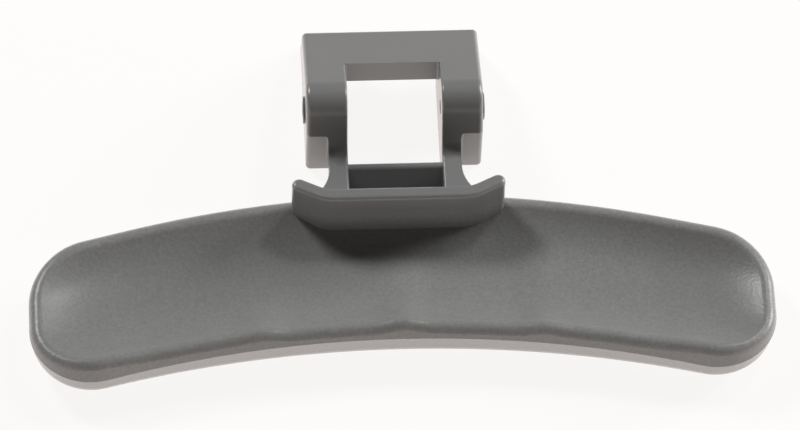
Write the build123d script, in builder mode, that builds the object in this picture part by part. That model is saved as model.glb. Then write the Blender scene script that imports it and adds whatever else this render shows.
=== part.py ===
from build123d import *
import os
from math import cos, pi, radians, sin, sqrt, tan

# Washing machine door handle: one moulding, a curved finger blade with a hinge block on its inner side.
# It lies with its outer face down: X runs along the blade, Y from the blade to the block, Z is up.
# The origin is the middle of the pivot bore. Lengths are in millimetres and angles in degrees.
# Heights are measured up from the table, and distances from the underside of the block.

# Blade, at its widest line
blade_length = 150.0
blade_width = 34.5
blade_top_radius = 216.0
blade_bottom_radius = 224.0
blade_gap = 12.0
widest_height = 8.2
end_draft = 14.0
wall_draft = 28.0
belly_draft = 10.0
belly_radius = 1500.0
belly_edge_radius = 4.5

# Corners of the blade, as shares of its width
top_corner_share = 0.45
bottom_corner_share = 0.357

# Dish in the inner side of the blade: higher powers make its floor flatter and its sides steeper
upper_rim_height = 10.5
lower_rim_height = 12.0
dish_depth = 4.8
dish_side_power = 2.7
dish_end_power = 8.0
rim_radius = 2.0

# Finger waves in the lower half of the dish and in the lower rim: more sharpness makes their ridges narrower
wave_count = 4
wave_pitch = 28.7
wave_depth = 1.2
end_wave_depth = 0.5
wave_start = 0.2
wave_growth = 1.5
wave_sharpness = 10.0

# Spacing of the points that the dish's surface goes through, and how far it runs past the blade
dish_spacing = 2.4
dish_margin = 4.0

# Hinge block: two cheeks joined by a front beam
block_width = 36.0
window_width = 19.2
bottom_edge_height = 12.3
nose_angle = 23.0
band_angle = 23.0
nose_radius = 5.0
top_edge_height = 12.0
top_edge_distance = 26.0
back_length = 31.5
beam_distance = 14.8
beam_back_height = 10.5
block_edge_radius = 1.0
window_edge_radius = 0.5

# Pivot bore through both cheeks, with a low boss round each end
pivot_height = 11.5
pivot_distance = 7.2
pivot_diameter = 3.2
boss_diameter = 5.6
boss_height = 0.5

# Legs from the block to the blade, and the web between them
leg_inset = 4.5
leg_back_height = 2.5
leg_waist_height = 8.6
leg_end_height = 9.4
leg_front_radius = 3.0
leg_foot_spread = 4.5
leg_foot_length = 7.5
leg_foot_end = 3.5
leg_neck_radius = 0.6
web_front_height = 10.3
web_back_height = 4.0
web_slope = 50.0
web_distance = 3.9
web_edge_radius = 1.0

# Stop lip across the dish
lip_height = 18.3
lip_thickness = 2.9
lip_distance = 16.5
lip_bend = 14.9
lip_tip = 20.1
lip_rise = 2.6
lip_bend_radius = 8.0
lip_edge_radius = 0.8

# How far one form runs into the next where they are one solid, and how near an edge must lie to be chosen
overlap = 2.0
nearness = 0.3


def height(value):
    """Z of a height above the table."""
    return value - pivot_height


def distance(value):
    """Y of a distance from the underside of the block."""
    return value - pivot_distance


def upper_edge(along):
    """Y of the blade's upper edge at its widest line."""
    return distance(-blade_gap) - blade_top_radius + sqrt(blade_top_radius**2 - along**2)


def lower_edge(along):
    """Y of the blade's lower edge at its widest line."""
    return distance(-blade_gap - blade_width) - blade_bottom_radius + sqrt(blade_bottom_radius**2 - along**2)


def blade_outline(level):
    """The blade's outline at a height: above its widest line it leans in, most of all at its lower edge."""
    rise = max(level - widest_height, 0)
    lean = rise * tan(radians(end_draft))
    half = blade_length / 2 - lean
    upper_middle, upper_end = upper_edge(0) - lean, upper_edge(half) - lean
    lower_middle = lower_edge(0) + rise * tan(radians(wall_draft))
    lower_end = lower_edge(half) + rise * tan(radians(wall_draft))
    with BuildSketch(Plane.XY.offset(height(level))) as outline:
        with BuildLine():
            ThreePointArc((-half, lower_end), (0, lower_middle), (half, lower_end))
            Line((half, lower_end), (half, upper_end))
            ThreePointArc((half, upper_end), (0, upper_middle), (-half, upper_end))
            Line((-half, upper_end), (-half, lower_end))
        make_face()
        fillet(outline.vertices().group_by(Axis.Y)[-1], radius=top_corner_share * blade_width - lean)
        fillet(outline.vertices().group_by(Axis.Y)[0], radius=bottom_corner_share * blade_width - lean)
    return outline.sketch


def dish_point(along, across):
    """A point of the dish: along is X, and across runs from 0 at the upper rim to 1 at the lower rim."""
    upper = upper_edge(along) - (upper_rim_height - widest_height) * tan(radians(end_draft))
    lower = lower_edge(along) + (lower_rim_height - widest_height) * tan(radians(wall_draft))
    rim = upper_rim_height + (lower_rim_height - upper_rim_height) * across
    side = abs(2 * across - 1) ** dish_side_power
    end = abs(2 * along / blade_length) ** dish_end_power
    wave = 0
    if abs(along) < wave_pitch * wave_count / 2 and across > wave_start:
        trough = 1 - abs(cos(pi * (along / wave_pitch - wave_count / 2))) ** wave_sharpness
        deepest = wave_depth if abs(along) < wave_pitch * (wave_count / 2 - 1) else end_wave_depth
        wave = deepest * trough * ((across - wave_start) / (1 - wave_start)) ** wave_growth
    level = rim - dish_depth * (1 - side - end) - wave
    return Vector(along, upper + (lower - upper) * across, height(level))


def beside_window(edge):
    """Whether an edge borders the window on the block's front."""
    middle = edge.center()
    at_side = abs(abs(middle.X) - window_width / 2) < nearness
    return at_side and middle.Y > distance(nearness) and middle.Z > height(beam_back_height)


# Blade: its leaning wall, a crowned belly, and the dish with its finger waves
columns = round((blade_length + 2 * dish_margin) / dish_spacing)
rows = round((blade_width + 2 * dish_margin) / dish_spacing)
past_rim = dish_margin / blade_width
places_across = [row / rows * (1 + 2 * past_rim) - past_rim for row in range(rows + 1)]
dish_points = []
for column in range(columns + 1):
    along = (column / columns - 0.5) * (blade_length + 2 * dish_margin)
    dish_points.append([dish_point(along, across) for across in places_across])
dish = Face.make_surface_from_array_of_points(dish_points)
with BuildPart() as blade:
    loft([blade_outline(widest_height), blade_outline(lower_rim_height + dish_margin)], ruled=True)
    extrude(blade_outline(widest_height), amount=-widest_height, taper=belly_draft)
    with BuildSketch(Plane.XZ):
        with Locations((0, height(belly_radius))):
            Circle(belly_radius)
    extrude(amount=blade_length, mode=Mode.INTERSECT)
    fillet(blade.faces().sort_by(Axis.Z)[0].edges(), radius=belly_edge_radius)
    extrude(dish, amount=lower_rim_height, dir=(0, 0, 1), mode=Mode.SUBTRACT)
    dish_floor = blade.faces().filter_by(GeomType.BSPLINE).sort_by(SortBy.AREA)[-1]
    fillet(dish_floor.edges(), radius=rim_radius)

# Hinge block: its side profile, the window, and the channel behind the beam
bottom_edge = Vector(distance(0), height(bottom_edge_height))
top_edge = Vector(distance(top_edge_distance), height(top_edge_height))
facet = Vector(sin(radians(nose_angle)), cos(radians(nose_angle)))
band = Vector(sin(radians(band_angle)), cos(radians(band_angle)))
nose = bottom_edge + facet * ((top_edge - bottom_edge).dot(band) / facet.dot(band))
with BuildPart() as block:
    with BuildSketch(Plane.YZ) as block_side:
        with BuildLine():
            Polyline(
                (distance(0), height(0)),
                bottom_edge,
                nose,
                top_edge,
                (distance(back_length), height(0)),
                close=True,
            )
        make_face()
        fillet(block_side.vertices().sort_by_distance(nose)[0], radius=nose_radius)
        fillet(block_side.vertices().sort_by_distance(top_edge)[0], radius=block_edge_radius)
        fillet(block_side.vertices().group_by(Axis.Y)[0], radius=block_edge_radius)
    extrude(amount=block_width / 2, both=True)
    fillet(block.faces().filter_by(Plane.YZ).edges(), radius=block_edge_radius)
    with BuildSketch(Plane.YZ):
        with Locations((distance(0), height(0))):
            Rectangle(2 * beam_distance, 4 * pivot_height)
            Rectangle(4 * back_length, 2 * beam_back_height)
    extrude(amount=window_width / 2, both=True, mode=Mode.SUBTRACT)

# Lip: a bent strip that stands out of the dish
floor_height = upper_rim_height - dish_depth
lip_middle = distance(-lip_distance - lip_thickness / 2)
with BuildPart() as lip:
    with BuildSketch(Plane.XY.offset(height(floor_height - overlap))):
        with BuildLine():
            FilletPolyline(
                (-lip_tip, lip_middle + lip_rise),
                (-lip_bend, lip_middle),
                (lip_bend, lip_middle),
                (lip_tip, lip_middle + lip_rise),
                radius=lip_bend_radius,
            )
            offset(amount=lip_thickness / 2)
        make_face()
    extrude(amount=lip_height - floor_height + overlap)
    fillet(lip.faces().sort_by(Axis.Z)[-1].edges(), radius=lip_edge_radius)

# Legs: their side profile, kept to the front profile that spreads where it meets the lip
waist = bottom_edge - facet * ((bottom_edge_height - leg_waist_height) / facet.Y)
foot_end = distance(leg_foot_end - lip_distance)
leg_side_inner = window_width / 2
leg_side_outer = block_width / 2 - leg_inset
with BuildPart() as legs:
    with BuildSketch(Plane.YZ) as leg_side:
        with BuildLine():
            Polyline(
                (distance(overlap), height(leg_back_height)),
                (distance(overlap), height(bottom_edge_height)),
                bottom_edge,
                waist,
                (lip_middle, height(leg_end_height)),
                (lip_middle, height(floor_height - overlap)),
                (distance(-blade_gap - overlap), height(leg_back_height)),
                close=True,
            )
        make_face()
        fillet(leg_side.vertices().sort_by_distance(waist)[0], radius=leg_front_radius)
    extrude(amount=leg_side_outer + leg_foot_spread, both=True)
    with BuildSketch(Plane.XY) as leg_front:
        with BuildLine():
            Polyline(
                (leg_side_outer + leg_foot_spread, foot_end),
                (leg_side_outer + leg_foot_spread, lip_middle),
                (leg_side_inner, lip_middle),
                (leg_side_inner, distance(overlap)),
                (leg_side_outer, distance(overlap)),
                (leg_side_outer, foot_end + leg_foot_length),
            )
            TangentArc(
                (leg_side_outer, foot_end + leg_foot_length),
                (leg_side_outer + leg_foot_spread, foot_end),
                tangent=(0, -1),
            )
        make_face()
        mirror(about=Plane.YZ)
    extrude(amount=2 * lip_height, both=True, mode=Mode.INTERSECT)

# Web that closes the window's lower end, its top sloping down towards the blade
web_run = (web_front_height - web_back_height) / tan(radians(web_slope))
with BuildPart() as web:
    with BuildSketch(Plane.YZ) as web_side:
        with BuildLine():
            Polyline(
                (distance(-web_distance), height(leg_back_height)),
                (distance(-web_distance), height(web_front_height)),
                (distance(-web_distance - web_run), height(web_back_height)),
                (distance(-blade_gap - overlap), height(web_back_height)),
                (distance(-blade_gap - overlap), height(leg_back_height)),
                close=True,
            )
        make_face()
        fillet(web_side.vertices().group_by(Axis.X)[-1], radius=web_edge_radius)
    extrude(amount=window_width / 2, both=True)

# The handle: everything joined and rounded, then the pivot bore and its bosses
with BuildPart() as door_handle:
    add(blade.part)
    add(block.part)
    add(legs.part)
    add(web.part)
    add(lip.part)
    for side in (1, -1):
        neck = Vector(side * leg_side_outer, distance(0), height(bottom_edge_height / 2))
        fillet(door_handle.edges().filter_by(Axis.Z).sort_by_distance(neck)[0], radius=leg_neck_radius)
    fillet(door_handle.edges().filter_by(beside_window), radius=window_edge_radius)
    for side in (1, -1):
        with BuildSketch(Plane.YZ.offset(side * (block_width / 2 - boss_height))):
            Circle(boss_diameter / 2)
        extrude(amount=2 * side * boss_height)
    with BuildSketch(Plane.YZ):
        Circle(pivot_diameter / 2)
    extrude(amount=block_width, both=True, mode=Mode.SUBTRACT)

door_handle.part.label = "door_handle"
os.makedirs("parts", exist_ok=True)
export_step(door_handle.part, "parts/door_handle.step")
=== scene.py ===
import math

import bpy
from mathutils import Matrix, Vector


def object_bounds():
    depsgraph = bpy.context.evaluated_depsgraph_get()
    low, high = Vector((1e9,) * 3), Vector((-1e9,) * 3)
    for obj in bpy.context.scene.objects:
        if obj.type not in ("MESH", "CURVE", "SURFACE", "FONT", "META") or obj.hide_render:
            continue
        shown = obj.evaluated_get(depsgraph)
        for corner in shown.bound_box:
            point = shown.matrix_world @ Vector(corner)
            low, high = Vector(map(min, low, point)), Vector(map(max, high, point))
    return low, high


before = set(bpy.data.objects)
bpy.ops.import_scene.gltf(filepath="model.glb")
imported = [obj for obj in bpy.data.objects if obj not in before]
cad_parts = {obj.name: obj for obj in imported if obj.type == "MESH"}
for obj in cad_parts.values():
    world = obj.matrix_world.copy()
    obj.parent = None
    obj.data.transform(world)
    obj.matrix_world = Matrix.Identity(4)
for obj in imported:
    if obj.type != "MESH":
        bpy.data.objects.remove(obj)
cadLow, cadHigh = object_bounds()
print("frame loaded:", ", ".join(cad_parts))


# Fills a node's inputs, each with a fixed value or with the output of another node
def fillInputs(tree, node, inputs):
    for key, value in inputs.items():
        if isinstance(value, bpy.types.NodeSocket):
            tree.links.new(value, node.inputs[key])
        else:
            node.inputs[key].default_value = value
    return node


def addNode(tree, kind, inputs):
    return fillInputs(tree, tree.nodes.new(kind), inputs)


def addMath(tree, operation, first, second):
    node = addNode(tree, "ShaderNodeMath", {0: first, 1: second})
    node.operation = operation
    return node.outputs[0]


# Goes smoothly from one value to another while a third crosses a span
def addRamp(tree, value, span, ends):
    node = addNode(tree, "ShaderNodeMapRange", {
        "Value": value, "From Min": span[0], "From Max": span[1], "To Min": ends[0], "To Max": ends[1],
    })
    node.interpolation_type = "SMOOTHSTEP"
    return node.outputs["Result"]


# Camera: a long lens, high over the grip side of the blade
cameraSettings = {
    "lens": 315.0,
    "sensor": 36.0,
    "azimuth": -4.64,
    "elevation": 56.55,
    "roll": 2.54,
    "distance": 1.4338,
    "target": (0.00113, -0.0150, -0.01695),
    "clipStart": 0.14,
    "clipEnd": 14.0,
}


def makeCamera(settings):
    camera = bpy.data.objects.new("camera", bpy.data.cameras.new("camera"))
    bpy.context.collection.objects.link(camera)
    camera.data.lens = settings["lens"]
    camera.data.sensor_width = settings["sensor"]
    camera.data.clip_start = settings["clipStart"]
    camera.data.clip_end = settings["clipEnd"]
    turn = Matrix.Rotation(math.radians(settings["azimuth"]), 4, "Z")
    tip = Matrix.Rotation(math.radians(90 - settings["elevation"]), 4, "X")
    roll = Matrix.Rotation(math.radians(settings["roll"]), 4, "Z")
    look = turn @ tip @ roll
    back = look.to_3x3() @ Vector((0, 0, 1))
    place = Matrix.Translation(Vector(settings["target"]) + back * settings["distance"])
    camera.matrix_world = place @ look
    bpy.context.scene.camera = camera


makeCamera(cameraSettings)
print("camera placed")


# Floor: a white table, shown white, that throws warm light back up and keeps a faint shadow
floorSettings = {
    "size": 6.0,
    "color": (0.93, 0.91, 0.905, 1),
    "shownColor": (1.0, 0.985, 0.98, 1),
    "shownShare": 0.9,  # of what the camera sees; the rest is the lit table with its shadow
    "bounceColor": (1.0, 0.93, 0.9, 1),
    "bounceStrength": 2.05,
    "bounceShare": 0.8,  # of the light that the table sends up to the handle
}


def makeFloor(settings):
    bpy.ops.object.select_all(action="DESELECT")
    bpy.ops.mesh.primitive_plane_add(size=settings["size"], location=(0, 0, cadLow.z))
    floor = bpy.context.object
    floor.name = "floor"
    material = bpy.data.materials.new("whiteTable")
    material.use_nodes = True
    material.cycles.emission_sampling = "NONE"
    tree = material.node_tree
    tree.nodes.clear()
    path = tree.nodes.new("ShaderNodeLightPath").outputs
    table = addNode(tree, "ShaderNodeBsdfDiffuse", {"Color": settings["color"]})
    bounce = addNode(tree, "ShaderNodeEmission", {
        "Color": settings["bounceColor"], "Strength": settings["bounceStrength"],
    })
    shown = addNode(tree, "ShaderNodeEmission", {"Color": settings["shownColor"]})
    bounced = addMath(tree, "MAXIMUM", path["Is Diffuse Ray"], path["Is Glossy Ray"])
    lit = addNode(tree, "ShaderNodeMixShader", {
        "Fac": addMath(tree, "MULTIPLY", bounced, settings["bounceShare"]),
        1: table.outputs[0],
        2: bounce.outputs[0],
    })
    whole = addNode(tree, "ShaderNodeMixShader", {
        "Fac": addMath(tree, "MULTIPLY", path["Is Camera Ray"], settings["shownShare"]),
        1: lit.outputs[0],
        2: shown.outputs[0],
    })
    addNode(tree, "ShaderNodeOutputMaterial", {"Surface": whole.outputs[0]})
    floor.data.materials.append(material)


makeFloor(floorSettings)
print("floor laid")


# Light: a lamp behind on the left, a low and a weak high one on the right, a low white card in front
lampColor = (0.985, 0.99, 0.985)
lampSettings = {
    "leftLamp": {"toward": (-0.51, 0.51, 0.693), "distance": 1.2, "size": 0.3, "power": 9.2},
    "rightLamp": {"toward": (0.865, 0.366, 0.342), "distance": 1.2, "size": 0.45, "power": 13.4},
    "highLamp": {"toward": (0.446, 0.449, 0.773), "distance": 1.2, "size": 0.2, "power": 3.3},
}
roomSettings = {
    "color": (1.0, 0.93, 0.88, 1),
    "roomStrength": 0.06,
    "cardStrength": 2.6,
    "cardHeights": (0.0, 0.32),  # Z of the direction from where the card fades to where it ends
    "cardSides": (-0.35, 0.45),  # the same in Y
    "backdropColor": (1.0, 0.985, 0.98, 1),
}


def makeLamp(name, settings):
    lamp = bpy.data.lights.new(name, "AREA")
    lamp.shape = "DISK"
    lamp.size = settings["size"]
    lamp.energy = settings["power"]
    lamp.color = lampColor
    lampObject = bpy.data.objects.new(name, lamp)
    bpy.context.collection.objects.link(lampObject)
    toward = Vector(settings["toward"]).normalized()
    lampObject.location = toward * settings["distance"]
    lampObject.rotation_euler = toward.to_track_quat("Z", "Y").to_euler()


def makeRoom(settings):
    world = bpy.data.worlds.new("room")
    bpy.context.scene.world = world
    world.use_nodes = True
    tree = world.node_tree
    tree.nodes.clear()
    path = tree.nodes.new("ShaderNodeLightPath").outputs
    around = tree.nodes.new("ShaderNodeTexCoord").outputs
    toward = addNode(tree, "ShaderNodeSeparateXYZ", {0: around["Generated"]}).outputs
    low = addRamp(tree, toward["Z"], settings["cardHeights"], (1, 0))
    inFront = addRamp(tree, toward["Y"], settings["cardSides"], (1, 0))
    card = addMath(tree, "MULTIPLY", low, inFront)
    brighter = addMath(tree, "MULTIPLY", card, settings["cardStrength"] - settings["roomStrength"])
    room = addNode(tree, "ShaderNodeBackground", {
        "Color": settings["color"], "Strength": addMath(tree, "ADD", brighter, settings["roomStrength"]),
    })
    backdrop = addNode(tree, "ShaderNodeBackground", {"Color": settings["backdropColor"]})
    whole = addNode(tree, "ShaderNodeMixShader", {
        "Fac": path["Is Camera Ray"], 1: room.outputs[0], 2: backdrop.outputs[0],
    })
    addNode(tree, "ShaderNodeOutputWorld", {"Surface": whole.outputs[0]})


for lampName, lamp in lampSettings.items():
    makeLamp(lampName, lamp)
makeRoom(roomSettings)
print("light set")


# Moulded grain: fine specks that stand up a little, and soft clouds where the plastic flowed
grainSettings = {
    "speckDetail": 1.5,
    "speckRoughness": 0.55,
    "cloudDetail": 2.0,
    "cloudDistortion": 0.6,
}


def makeGrainGroup(settings):
    group = bpy.data.node_groups.new("mouldedGrain", "ShaderNodeTree")
    for name in ("Speck Scale", "Cloud Scale"):
        group.interface.new_socket(name=name, in_out="INPUT", socket_type="NodeSocketFloat")
    for name in ("Speck", "Cloud"):
        group.interface.new_socket(name=name, in_out="OUTPUT", socket_type="NodeSocketFloat")
    scales = group.nodes.new("NodeGroupInput").outputs
    place = group.nodes.new("ShaderNodeTexCoord").outputs["Object"]
    speck = addNode(group, "ShaderNodeTexNoise", {
        "Vector": place,
        "Scale": scales["Speck Scale"],
        "Detail": settings["speckDetail"],
        "Roughness": settings["speckRoughness"],
    })
    cloud = addNode(group, "ShaderNodeTexNoise", {
        "Vector": place,
        "Scale": scales["Cloud Scale"],
        "Detail": settings["cloudDetail"],
        "Distortion": settings["cloudDistortion"],
    })
    addNode(group, "NodeGroupOutput", {"Speck": speck.outputs["Fac"], "Cloud": cloud.outputs["Fac"]})
    return group


# Plastic: mid-grey, grained and matte on the blade; smoother on the block, legs and lip, whose colour is a
# little darker as painted shade
plasticSettings = {
    # The block's colour is darker than the blade's as painted shade; the plastic is one grey
    "bladeAndShadedBlockColors": ((0.188, 0.188, 0.187, 1), (0.16, 0.16, 0.16, 1)),  # the blade's, then the block's
    "speckChange": (0.4, 0.08),
    "specular": (0.38, 0.6),
    "roughness": (0.36, 0.34),
    "bump": (1.0, 0.05),
    "bumpHeight": 0.00004,
    "cloudChange": 0.06,
    "roughnessChange": 0.12,
    "speckScale": 1500.0,
    "cloudScale": 55.0,
    "grainMiddle": 0.5,  # the value that the specks and clouds swing around
    "blockSpan": (-0.0200, -0.0170),  # Y across which the blade's finish turns into the block's
    "lipSpan": (0.0010, 0.0025),  # Z across which it turns into the lip's
}


def makePlastic(settings):
    material = bpy.data.materials.new("greyPlastic")
    material.use_nodes = True
    tree = material.node_tree
    place = tree.nodes.new("ShaderNodeTexCoord").outputs["Object"]
    at = addNode(tree, "ShaderNodeSeparateXYZ", {0: place}).outputs
    # Where the block, legs and lip are: their smoother finish, and the painted shade that darkens their
    # colour
    onBlock = addRamp(tree, at["Y"], settings["blockSpan"], (0, 1))
    onLip = addRamp(tree, at["Z"], settings["lipSpan"], (0, 1))
    blockFinishAndShade = addMath(tree, "MAXIMUM", onBlock, onLip)

    grain = tree.nodes.new("ShaderNodeGroup")
    grain.node_tree = makeGrainGroup(grainSettings)
    fillInputs(tree, grain, {"Speck Scale": settings["speckScale"], "Cloud Scale": settings["cloudScale"]})
    speck = addMath(tree, "SUBTRACT", grain.outputs["Speck"], settings["grainMiddle"])
    cloud = addMath(tree, "SUBTRACT", grain.outputs["Cloud"], settings["grainMiddle"])

    # Colour: the blade's grey and, on the block, legs and lip, a darker grey that is painted shade, with
    # specks and clouds
    toneAndShade = tree.nodes.new("ShaderNodeMix")
    toneAndShade.data_type = "RGBA"
    fillInputs(tree, toneAndShade, {"Factor": blockFinishAndShade, "A": settings["bladeAndShadedBlockColors"][0], "B": settings["bladeAndShadedBlockColors"][1]})
    speckChange = addRamp(tree, blockFinishAndShade, (0, 1), settings["speckChange"])
    specks = addMath(tree, "MULTIPLY", speck, speckChange)
    clouds = addMath(tree, "MULTIPLY", cloud, settings["cloudChange"])
    change = addMath(tree, "ADD", addMath(tree, "ADD", specks, clouds), 1)
    color = tree.nodes.new("ShaderNodeVectorMath")
    color.operation = "SCALE"
    fillInputs(tree, color, {0: toneAndShade.outputs["Result"], "Scale": change})

    # Gloss: a matte blade and a shinier block, broken up by the specks
    roughness = addRamp(tree, blockFinishAndShade, (0, 1), settings["roughness"])
    broken = addMath(tree, "MULTIPLY", speck, settings["roughnessChange"])

    # Bump: the specks, deep on the blade and faint on the block
    bump = addNode(tree, "ShaderNodeBump", {
        "Strength": addRamp(tree, blockFinishAndShade, (0, 1), settings["bump"]),
        "Distance": settings["bumpHeight"],
        "Height": grain.outputs["Speck"],
    })
    fillInputs(tree, tree.nodes["Principled BSDF"], {
        "Base Color": color.outputs[0],
        "Roughness": addMath(tree, "ADD", roughness, broken),
        "Specular IOR Level": addRamp(tree, blockFinishAndShade, (0, 1), settings["specular"]),
        "Normal": bump.outputs["Normal"],
    })
    return material


plastic = makePlastic(plasticSettings)
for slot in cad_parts["door_handle"].material_slots:
    slot.material = plastic
print("plastic made")

bpy.context.scene.view_settings.view_transform = "Standard"
